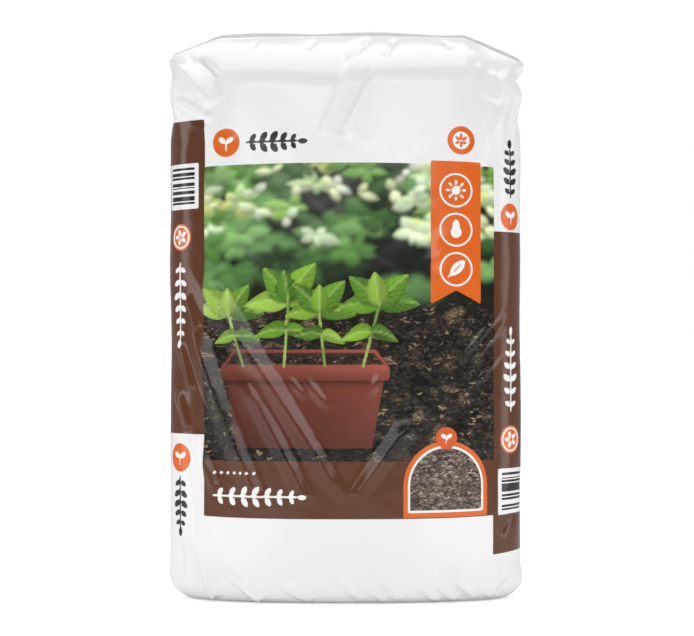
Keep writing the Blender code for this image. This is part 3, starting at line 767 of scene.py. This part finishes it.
def paintPicture(s, h):
    # Colours and distances of the picture's layers over the whole film: black, or 1 m away, outside it
    half, low, high = pictureSettings["painted"]
    near = (np.abs(s - (panelLeft + panelRight) / 2) < half) & (h > low) & (h < high)
    ps, ph = s[near], h[near]
    ground = paintGround(ps, ph)
    g, dark = pictureSettings["trough"], pictureSettings["shadow"]
    under = ((g["left"] + g["right"]) / 2 + dark["shift"][0], g["foot"] + dark["shift"][1])
    shadow = boxDistance(ps, ph, under, dark["half"], dark["half"][1])
    ground *= (1 - dark["share"] * smooth(0.6 - shadow / dark["blur"]))[:, None]
    plantEdge, plants = paintPlants(ps, ph)
    troughEdge, trough, innerEdge = paintTrough(ps, ph)
    layers = {"paintGround": ground, "paintPlants": plants, "paintTrough": trough,
              "edgePlants": plantEdge, "edgeTrough": troughEdge, "edgeInner": innerEdge}
    for name, value in layers.items():
        isColour = value.ndim > 1
        whole = np.full(s.shape + value.shape[1:], 0.0 if isColour else 1.0)
        whole[near] = np.clip(value, 0, 1) if isColour else value
        layers[name] = whole
    return layers


sharpAngle = math.radians(55)


def newPiece(name, points, faceSets):
    # Object at the origin from points and arrays of faces, shaded smooth except at sharp corners
    mesh = bpy.data.meshes.new(name)
    sizes = np.concatenate([np.full(len(faces), faces.shape[1]) for faces in faceSets])
    corners = np.concatenate([faces.ravel() for faces in faceSets])
    mesh.vertices.add(len(points))
    mesh.vertices.foreach_set("co", points.astype(np.float32).ravel())
    mesh.loops.add(len(corners))
    mesh.loops.foreach_set("vertex_index", corners.astype(np.int32))
    mesh.polygons.add(len(sizes))
    mesh.polygons.foreach_set("loop_start", (np.cumsum(sizes) - sizes).astype(np.int32))
    mesh.update(calc_edges=True)
    mesh.validate()
    mesh.shade_smooth()
    mesh.set_sharp_from_angle(angle=sharpAngle)
    piece = bpy.data.objects.new(name, mesh)
    bpy.context.collection.objects.link(piece)
    return piece


def tubeFaces(rows, columns):
    # Quads between neighbouring rows and columns, closed round the tube
    row = np.arange(rows - 1)[:, None] * columns
    here = np.arange(columns)[None, :]
    there = (here + 1) % columns
    corners = [row + here, row + there, row + there + columns, row + here + columns]
    return np.stack(corners, axis=-1).reshape(-1, 4)


def capFaces(first, steps, columns):
    # Faces that close one row, facing down: two steps of the front against one step of the back
    j = np.arange(steps // 2)
    front = first + 2 * j
    back = first + (columns - j) % columns
    nextBack = first + (columns - j - 1) % columns
    whole = np.stack([front + 2, front + 1, front, back, nextBack], axis=-1)
    return [whole[1:-1], whole[:1, [0, 1, 2, 4]], whole[-1:, :4]]


def layer(mesh, name, values):
    # Stores one value or one colour at each point
    if values.ndim == 1:
        mesh.attributes.new(name, "FLOAT", "POINT").data.foreach_set("value", values.astype(np.float32))
    else:
        colours = np.hstack([values, np.ones((len(values), 1))]).astype(np.float32)
        mesh.attributes.new(name, "FLOAT_COLOR", "POINT").data.foreach_set("color", colours.ravel())


baseShares = (0.8, 0.88, 0.93, 0.96, 0.985)  # rings inside the foot of the film


def buildBag():
    # Adds the hollow underside to the film, closes both ends, and lays the print on it
    foot = filmGrid[0]
    share = np.array(baseShares)[:, None]
    lift = filmSettings["baseHollow"] * smooth((1 - share) / (1 - baseShares[0]))
    rings = np.stack([foot[:, 0] * share, foot[:, 1] * share, foot[:, 2] + lift + 0 * foot[:, 0]], axis=2)
    grid = np.vstack([rings, filmGrid])
    rows, columns = grid.shape[:2]
    along = np.vstack([filmAlong[:len(baseShares)], filmAlong])
    level = np.vstack([(share - 1) * halfDepth + 0 * foot[:, 0], filmLevel])
    top = capFaces((rows - 1) * columns, frontSteps, columns)
    caps = capFaces(0, frontSteps, columns) + [faces[:, ::-1] for faces in top]
    bag = newPiece("bag_film", grid.reshape(-1, 3), [tubeFaces(rows, columns)] + caps)

    mesh = bag.data
    s, h = along.ravel(), level.ravel()
    corner = np.zeros(len(mesh.loops), dtype=np.int32)
    mesh.loops.foreach_get("vertex_index", corner)
    centres = np.zeros(len(mesh.polygons) * 3)
    mesh.polygons.foreach_get("center", centres)
    sizes = np.zeros(len(mesh.polygons), dtype=np.int32)
    mesh.polygons.foreach_get("loop_total", sizes)
    side = np.repeat(np.sign(centres[0::3]), sizes)
    u = np.where(s[corner] * side < -0.9 * filmTurn / 2, s[corner] + side * filmTurn, s[corner])
    mesh.uv_layers.new(name="film").uv.foreach_set("vector", np.stack([u, h[corner]], axis=1).ravel())
    for name, values in {**printLayers(s, h), **paintPicture(s, h)}.items():
        layer(mesh, name, values)
    return bag


bag = buildBag()
print("bag built:", len(bag.data.vertices), "points", len(bag.data.polygons), "faces")


# Weld folded flat under the base: a ribbed strip, seen only from below
bottomSealSettings = {"length": 0.386, "width": 0.014, "thickness": 0.0011, "lift": 0.0001,
                      "ribPitch": 0.0025, "ribRise": 0.00015, "ribFade": 0.1, "steps": (96, 22)}


def buildBottomSeal():
    # Two height fields over one rectangle, joined at their edges. The lower one has ribs: a cosine across
    # the strip that fades at the edges by S-curves.
    b = bottomSealSettings
    columns, rows = b["steps"]
    x, v = np.meshgrid(b["length"] * np.linspace(-0.5, 0.5, columns), np.linspace(0, 1, rows))
    y = b["width"] * v
    ribs = b["ribRise"] * (0.5 - 0.5 * np.cos(2 * math.pi * y / b["ribPitch"]))
    ribs *= smooth(v / b["ribFade"]) * smooth((1 - v) / b["ribFade"])
    heights = (b["lift"] + ribs, b["lift"] + b["thickness"] + 0 * x)
    points = np.concatenate([np.stack([x, y, z], axis=2).reshape(-1, 3) for z in heights])
    corner = (np.arange(rows - 1)[:, None] * columns + np.arange(columns - 1)).ravel()
    quads = np.stack([corner, corner + 1, corner + columns + 1, corner + columns], axis=-1)
    index = np.arange(rows * columns).reshape(rows, columns)
    edge = np.concatenate([index[0, :-1], index[:-1, -1], index[-1, :0:-1], index[:0:-1, 0]])
    after, other = np.roll(edge, -1), rows * columns
    wall = np.stack([edge, after, after + other, edge + other], axis=-1)
    return newPiece("bottom_seal", points, [quads[:, ::-1], quads + other, wall])


bottomSeal = buildBottomSeal()
print("bottom seal built:", len(bottomSeal.data.polygons), "faces")


# Node trees
def addNode(tree, kind, inputs=None, **settings):
    # One node with its settings. Each input is a value, or a socket to link from.
    node = tree.nodes.new(kind)
    for key, value in settings.items():
        setattr(node, key, value)
    for key, value in (inputs or {}).items():
        if isinstance(value, bpy.types.NodeSocket):
            tree.links.new(value, node.inputs[key])
        else:
            node.inputs[key].default_value = value
    return node


def calculate(tree, operation, *values):
    # One step of arithmetic
    return addNode(tree, "ShaderNodeMath", dict(enumerate(values)), operation=operation).outputs[0]


def calculateVector(tree, operation, inputs, output=0):
    # One step of arithmetic with vectors
    return addNode(tree, "ShaderNodeVectorMath", inputs, operation=operation).outputs[output]


def blendColours(tree, share, below, above):
    # below * (1 - share) + above * share
    return addNode(tree, "ShaderNodeMix", {0: share, 6: below, 7: above}, data_type="RGBA").outputs[2]


def remap(tree, value, low, high, toLow=0.0, toHigh=1.0, kind="LINEAR"):
    # Carries low to toLow and high to toHigh, and holds it outside
    inputs = {0: value, 1: low, 2: high, 3: toLow, 4: toHigh}
    return addNode(tree, "ShaderNodeMapRange", inputs, interpolation_type=kind).outputs[0]


def mapNoise(tree, where, scale, detail, roughness=0.5):
    # Cloudy noise of one scale
    inputs = {"Vector": where, "Scale": scale, "Detail": detail, "Roughness": roughness}
    return addNode(tree, "ShaderNodeTexNoise", inputs).outputs


def useGroup(tree, group, inputs):
    # A group's node, as its outputs
    return addNode(tree, "ShaderNodeGroup", inputs, node_tree=group).outputs


def newGroup(name, inputs, outputs):
    # Group with named sockets, each with its kind or the number it starts from
    group = bpy.data.node_groups.new(name, "ShaderNodeTree")
    for direction, sockets in (("INPUT", inputs), ("OUTPUT", outputs)):
        for label, start in sockets.items():
            kind = start if isinstance(start, str) else "Float"
            socket = group.interface.new_socket(label, in_out=direction, socket_type="NodeSocket" + kind)
            if kind != start:
                socket.default_value = start
    return group, group.nodes.new("NodeGroupInput").outputs, group.nodes.new("NodeGroupOutput").inputs


def crumbGroup():
    # Loose soil: two layers of stretched cells of random lightness, bent by noise, with the lighter one of
    # the two on top, and pale fibres here and there
    group, start, end = newGroup(
        "crumbledSoil",
        {"Vector": "Vector", "Grain Size": 0.004, "Base": "Color", "Pale Share": 0.2, "Pale": "Color"},
        {"Color": "Color", "Height": "Float"})
    size, where = start["Grain Size"], start["Vector"]
    scale = calculate(group, "DIVIDE", 1.0, size)
    warp = mapNoise(group, where, calculate(group, "MULTIPLY", scale, 0.35), 3.0, 0.6)["Color"]
    push = calculateVector(group, "SUBTRACT", {0: warp, 1: (0.5, 0.5, 0.5)})
    push = calculateVector(group, "SCALE", {0: push, "Scale": calculate(group, "MULTIPLY", size, 4.0)})
    place = calculateVector(group, "ADD", {0: where, 1: push})
    tones = []
    for turned, stretch in ((0.5, (0.55, 1.6, 1.0)), (2.2, (0.6, 1.5, 1.0))):
        inputs = {"Vector": place, "Rotation": (0.0, 0.0, turned), "Scale": stretch}
        drawn = addNode(group, "ShaderNodeMapping", inputs).outputs[0]
        cells = addNode(group, "ShaderNodeTexVoronoi", {"Vector": drawn, "Scale": scale}).outputs
        tone = addNode(group, "ShaderNodeSeparateColor", {"Color": cells["Color"]}).outputs
        body = remap(group, cells["Distance"], 0.15, 0.75, 1.0, 0.25)
        tones.append((calculate(group, "MULTIPLY", tone[0], body), tone[1]))
    value = calculate(group, "MAXIMUM", tones[0][0], calculate(group, "MULTIPLY", tones[1][0], 0.9))
    patches = mapNoise(group, where, calculate(group, "MULTIPLY", scale, 0.12), 2.0)["Fac"]
    value = calculate(group, "MULTIPLY", calculate(group, "POWER", value, 1.8),
                      remap(group, patches, 0.3, 0.7, 0.6, 1.4))
    lightness = remap(group, value, 0.0, 0.9, 0.22, 2.9)
    lit = calculateVector(group, "SCALE", {0: start["Base"], "Scale": lightness})
    limit = calculate(group, "SUBTRACT", 1.0, start["Pale Share"])
    flecks = calculate(group, "MULTIPLY", calculate(group, "GREATER_THAN", tones[0][1], limit),
                       remap(group, tones[0][0], 0.1, 0.4, 0.0, 0.9))
    group.links.new(blendColours(group, flecks, lit, start["Pale"]), end["Color"])
    group.links.new(value, end["Height"])
    return group


def barsGroup():
    # Bars across the film: the film height is cut into thin rows, and each row is dark or bare at random
    group, start, end = newGroup("stackedBars", {"Height": 0.0, "Pitch": 0.0015, "Dark Share": 0.5},
                                 {"Mask": "Float"})
    row = calculate(group, "FLOOR", calculate(group, "DIVIDE", start["Height"], start["Pitch"]))
    noise = addNode(group, "ShaderNodeTexWhiteNoise", {"W": row}, noise_dimensions="1D").outputs["Value"]
    group.links.new(calculate(group, "LESS_THAN", noise, start["Dark Share"]), end["Mask"])
    return group


def filmGroup():
    # Blown film: slow bands and small pits left by what presses on it from inside, and uneven gloss
    inputs = {"Vector": "Vector", "Rise": 1.0, "Roughness": 0.3, "Spread": 0.06}
    group, start, end = newGroup("blownFilm", inputs, {"Height": "Float", "Roughness": "Float"})
    where = start["Vector"]
    drawn = addNode(group, "ShaderNodeMapping", {"Vector": where, "Scale": (1.0, 1.0, 0.35)}).outputs[0]
    height = calculate(group, "ADD",
                       calculate(group, "MULTIPLY", mapNoise(group, drawn, 30.0, 2.0, 0.4)["Fac"], 0.00025),
                       calculate(group, "MULTIPLY", mapNoise(group, where, 210.0, 2.0)["Fac"], 0.00002))
    share = remap(group, mapNoise(group, where, 14.0, 4.0)["Fac"], 0.3, 0.7, -1.0, 1.0)
    rough = calculate(group, "MULTIPLY_ADD", share, start["Spread"], start["Roughness"])
    group.links.new(calculate(group, "MULTIPLY", height, start["Rise"]), end["Height"])
    group.links.new(rough, end["Roughness"])
    return group


crumbledSoil, stackedBars, blownFilm = crumbGroup(), barsGroup(), filmGroup()
filmColours = {
    "white": (238, 238, 238),
    # Grey of the seal: painted shade along the top seal's edge, laid over the white film
    "weld": (198, 200, 204),
    "brown": (94, 56, 37),
    "orange": (224, 103, 34),
    "keystone": (214, 92, 34),
    "ink": (40, 38, 40),
    "pale": (244, 243, 240),
    "soilSwatch": (104, 88, 80),
    "soilFleck": (170, 152, 138),
    "pictureFleck": (142, 122, 98),
}
filmFinish = {
    "edge": 0.0003,  # half the width over which an ink's edge is softened
    "roughness": 0.17,
    "spread": 0.03,
    "ribPitch": 0.0025,
    "ribRise": 0.00015,
    "weld": (0.0004, 0.0012),  # heights over the fold between which the weld starts
    "soilEdge": 0.012,
    "ground": {"Grain Size": 0.0044, "Pale Share": 0.06},
    "potted": {"Grain Size": 0.0034, "Pale Share": 0.08},
    "swatch": {"Grain Size": 0.0034, "Pale Share": 0.25},
    "bars": {"Pitch": 0.0016, "Dark Share": 0.55},
}


def tint(name):
    # One of the film's colours, for a socket
    return (*screen(*filmColours[name]), 1.0)


def newMaterial(name):
    # Material with its tree and its shader's inputs
    material = bpy.data.materials.new(name)
    material.use_nodes = True
    tree = material.node_tree
    return material, tree, tree.nodes["Principled BSDF"].inputs


def layFilm(tree, shader, colour, film, relief):
    # Feeds the shader its colour, uneven roughness, and relief as a bump
    bump = addNode(tree, "ShaderNodeBump", {"Height": relief, "Strength": 1.0, "Distance": 1.0})
    for value, label in ((colour, "Base Color"), (film["Roughness"], "Roughness"),
                         (bump.outputs["Normal"], "Normal")):
        tree.links.new(value, shader[label])


def printedFilm():
    # White film with the print laid over it, ink by ink. Each ink is where its distance is below zero.
    material, tree, shader = newMaterial("printed_film")
    place = addNode(tree, "ShaderNodeTexCoord").outputs["Object"]
    onFilm = addNode(tree, "ShaderNodeUVMap", uv_map="film").outputs["UV"]
    height = addNode(tree, "ShaderNodeSeparateXYZ", {0: onFilm}).outputs["Y"]
    f, horizon = filmFinish, pictureSettings["horizon"]

    def stored(name, output="Color"):
        return addNode(tree, "ShaderNodeAttribute", attribute_name=name).outputs[output]

    def inside(name):
        return remap(tree, stored(name, "Fac"), -f["edge"], f["edge"], 1.0, 0.0)

    def lay(colour, *inks):
        for name, top in inks:
            colour = blendColours(tree, inside(name), colour, tint(top) if isinstance(top, str) else top)
        return colour

    def soil(base, kind, fleck):
        inputs = {"Vector": onFilm, "Base": base, "Pale": tint(fleck), **f[kind]}
        return useGroup(tree, crumbledSoil, inputs)["Color"]

    ground, trough = stored("paintGround"), stored("paintTrough")
    isSoil = remap(tree, height, horizon - f["soilEdge"], horizon + f["soilEdge"], 1.0, 0.0)
    scenery = blendColours(tree, isSoil, ground, soil(ground, "ground", "pictureFleck"))
    scenery = lay(scenery, ("edgeTrough", trough), ("edgeInner", soil(trough, "potted", "pictureFleck")),
                  ("edgePlants", stored("paintPlants")))
    # The top seal's band: painted grey as shade, and real ribs as relief
    welded = remap(tree, height, *[sealHeight + rise for rise in f["weld"]])
    colour = blendColours(tree, welded, tint("white"), tint("weld"))
    colour = lay(colour, ("inkBrown", "brown"), ("inkPicture", scenery), ("inkOrange", "orange"),
                 ("inkLine", "pale"), ("inkSwatch", soil(tint("soilSwatch"), "swatch", "soilFleck")),
                 ("inkKeystone", "keystone"), ("inkKeystoneMotif", "pale"))
    toLine = calculate(tree, "ABSOLUTE", stored("inkRings", "Fac"))
    line = printSettings["ringLine"]
    onRing = remap(tree, toLine, line - f["edge"], line + f["edge"], 1.0, 0.0)
    colour = blendColours(tree, onRing, colour, tint("pale"))
    colour = lay(colour, ("inkPale", "pale"), ("inkOver", "orange"), ("inkDark", "ink"),
                 ("inkLabel", "white"))
    bars = useGroup(tree, stackedBars, {"Height": height, **f["bars"]})["Mask"]
    colour = blendColours(tree, calculate(tree, "MULTIPLY", bars, inside("inkBars")), colour, tint("ink"))

    inputs = {"Vector": place, "Rise": 1.0, "Roughness": f["roughness"], "Spread": f["spread"]}
    film = useGroup(tree, blownFilm, inputs)
    ribs = calculate(tree, "SINE", calculate(tree, "MULTIPLY", height, 2 * math.pi / f["ribPitch"]))
    ribs = calculate(tree, "MULTIPLY", calculate(tree, "MULTIPLY", ribs, welded), f["ribRise"])
    layFilm(tree, shader, colour, film, calculate(tree, "ADD", film["Height"], ribs))
    shader["IOR"].default_value = 1.5
    return material


def weldedFilm():
    # Bare white film of the folded weld, dulled by its ribs, mottled by noise with the grey that paints shade
    # on the top seal
    material, tree, shader = newMaterial("welded_film")
    place = addNode(tree, "ShaderNodeTexCoord").outputs["Object"]
    film = useGroup(tree, blownFilm, {"Vector": place, "Rise": 0.6, "Roughness": 0.36, "Spread": 0.05})
    colour = blendColours(tree, mapNoise(tree, place, 90.0, 3.0)["Fac"], tint("weld"), tint("white"))
    layFilm(tree, shader, colour, film, film["Height"])
    return material


bag.data.materials.append(printedFilm())
bottomSeal.data.materials.append(weldedFilm())
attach(bag, "root")
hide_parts("compost_bag")
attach(bottomSeal, "root")
print("materials laid")

# Studio: a floor, soft lamps and a world. Radiance is what a lamp adds at full view, in scene units.
lampSettings = {
    "frontHigh": {"at": (0.0, -3.15, 1.27), "size": (3.8, 0.58), "radiance": 2.7},
    "lowLeft": {"at": (-0.8, -0.9, 0.15), "size": (0.9, 0.25), "radiance": 5.4, "mirrored": False},
    "lowRight": {"at": (0.8, -0.9, 0.15), "size": (0.9, 0.25), "radiance": 5.4, "mirrored": False},
    "leftStrip": {"at": (-1.62, -0.29, 0.75), "size": (0.35, 1.8), "radiance": 2.2},
    "rightStrip": {"at": (1.62, -0.29, 0.75), "size": (0.35, 1.8), "radiance": 1.9},
    "top": {"at": (0.0, 0.05, 2.1), "size": (2.0, 1.7), "radiance": 2.08},
    "back": {"at": (0.0, 2.2, 1.15), "size": (1.6, 0.8), "radiance": 3.0},
}
worldSettings = {"front": 0.12, "back": 0.5, "glow": 1.0}
floorSettings = {"half": 40.0, "drop": 0.0004, "colour": (246, 246, 246), "liftNear": 0.45, "liftFar": 0.9,
                 "near": 0.35, "far": 1.8}
cameraSettings = {"at": (0.0021, -3.0, 0.391), "lens": 111.0, "sensor": 36.0}


def addLamp(name, at, size, radiance, mirrored=True):
    # Rectangular lamp aimed at the middle of the bag, with power pi * area * radiance. A lamp that only
    # fills the shade is kept out of reflections.
    light = bpy.data.lights.new(name, "AREA")
    light.shape = "RECTANGLE"
    light.size, light.size_y = size
    light.energy = math.pi * size[0] * size[1] * radiance
    lamp = bpy.data.objects.new(name, light)
    lamp.location = at
    aim = Vector((0, 0, (bagLow.z + bagHigh.z) / 2)) - lamp.location
    lamp.rotation_euler = aim.to_track_quat("-Z", "Y").to_euler()
    lamp.visible_camera = False
    lamp.visible_glossy = mirrored
    bpy.context.collection.objects.link(lamp)


def buildWorld():
    # Light that fades from the front to behind the bag, and plain white where the camera sees it
    world = bpy.data.worlds.new("studio")
    bpy.context.scene.world = world
    world.use_nodes = True
    tree = world.node_tree
    shader = tree.nodes["Background"]
    heading = addNode(tree, "ShaderNodeTexCoord").outputs["Generated"]
    deep = addNode(tree, "ShaderNodeSeparateXYZ", {0: heading}).outputs["Y"]
    strength = remap(tree, deep, -0.8, 0.8, worldSettings["front"], worldSettings["back"], "SMOOTHSTEP")
    seen = addNode(tree, "ShaderNodeLightPath").outputs["Is Camera Ray"]
    inputs = {0: seen, 2: strength, 3: worldSettings["glow"]}
    mixed = addNode(tree, "ShaderNodeMix", inputs, data_type="FLOAT").outputs[0]
    tree.links.new(mixed, shader.inputs["Strength"])
    shader.inputs["Color"].default_value = (1.0, 1.0, 1.0, 1.0)


def buildFloor():
    # Wide plane just under the bag. To the camera it also glows a little, so that it reads as white and
    # keeps the shadow.
    f = floorSettings
    half = f["half"]
    corners = ((-half, -half), (half, -half), (half, half), (-half, half))
    points = np.array([(*corner, -f["drop"]) for corner in corners])
    floor = newPiece("floor", points, [np.array([[0, 1, 2, 3]])])
    material, tree, shader = newMaterial("pale_floor")
    shader["Base Color"].default_value = (*screen(*f["colour"]), 1.0)
    shader["Roughness"].default_value = 0.9
    seen = addNode(tree, "ShaderNodeLightPath").outputs["Is Camera Ray"]
    place = addNode(tree, "ShaderNodeTexCoord").outputs["Object"]
    away = calculateVector(tree, "LENGTH", {0: place}, "Value")
    lift = remap(tree, away, f["near"], f["far"], f["liftNear"], f["liftFar"])
    glow = calculate(tree, "MULTIPLY", seen, lift)
    shader["Emission Color"].default_value = (1.0, 1.0, 1.0, 1.0)
    tree.links.new(glow, shader["Emission Strength"])
    floor.data.materials.append(material)


def addCamera():
    # Level camera in front of the bag
    camera = bpy.data.cameras.new("camera")
    camera.lens = cameraSettings["lens"]
    camera.sensor_width = cameraSettings["sensor"]
    holder = bpy.data.objects.new("camera", camera)
    holder.location = cameraSettings["at"]
    holder.rotation_euler = (math.pi / 2, 0, 0)
    bpy.context.collection.objects.link(holder)
    bpy.context.scene.camera = holder


for name, lamp in lampSettings.items():
    addLamp(name, **lamp)
buildWorld()
buildFloor()
addCamera()
bpy.context.scene.view_settings.view_transform = "Standard"
print("studio set")

bpy.context.view_layer.update()
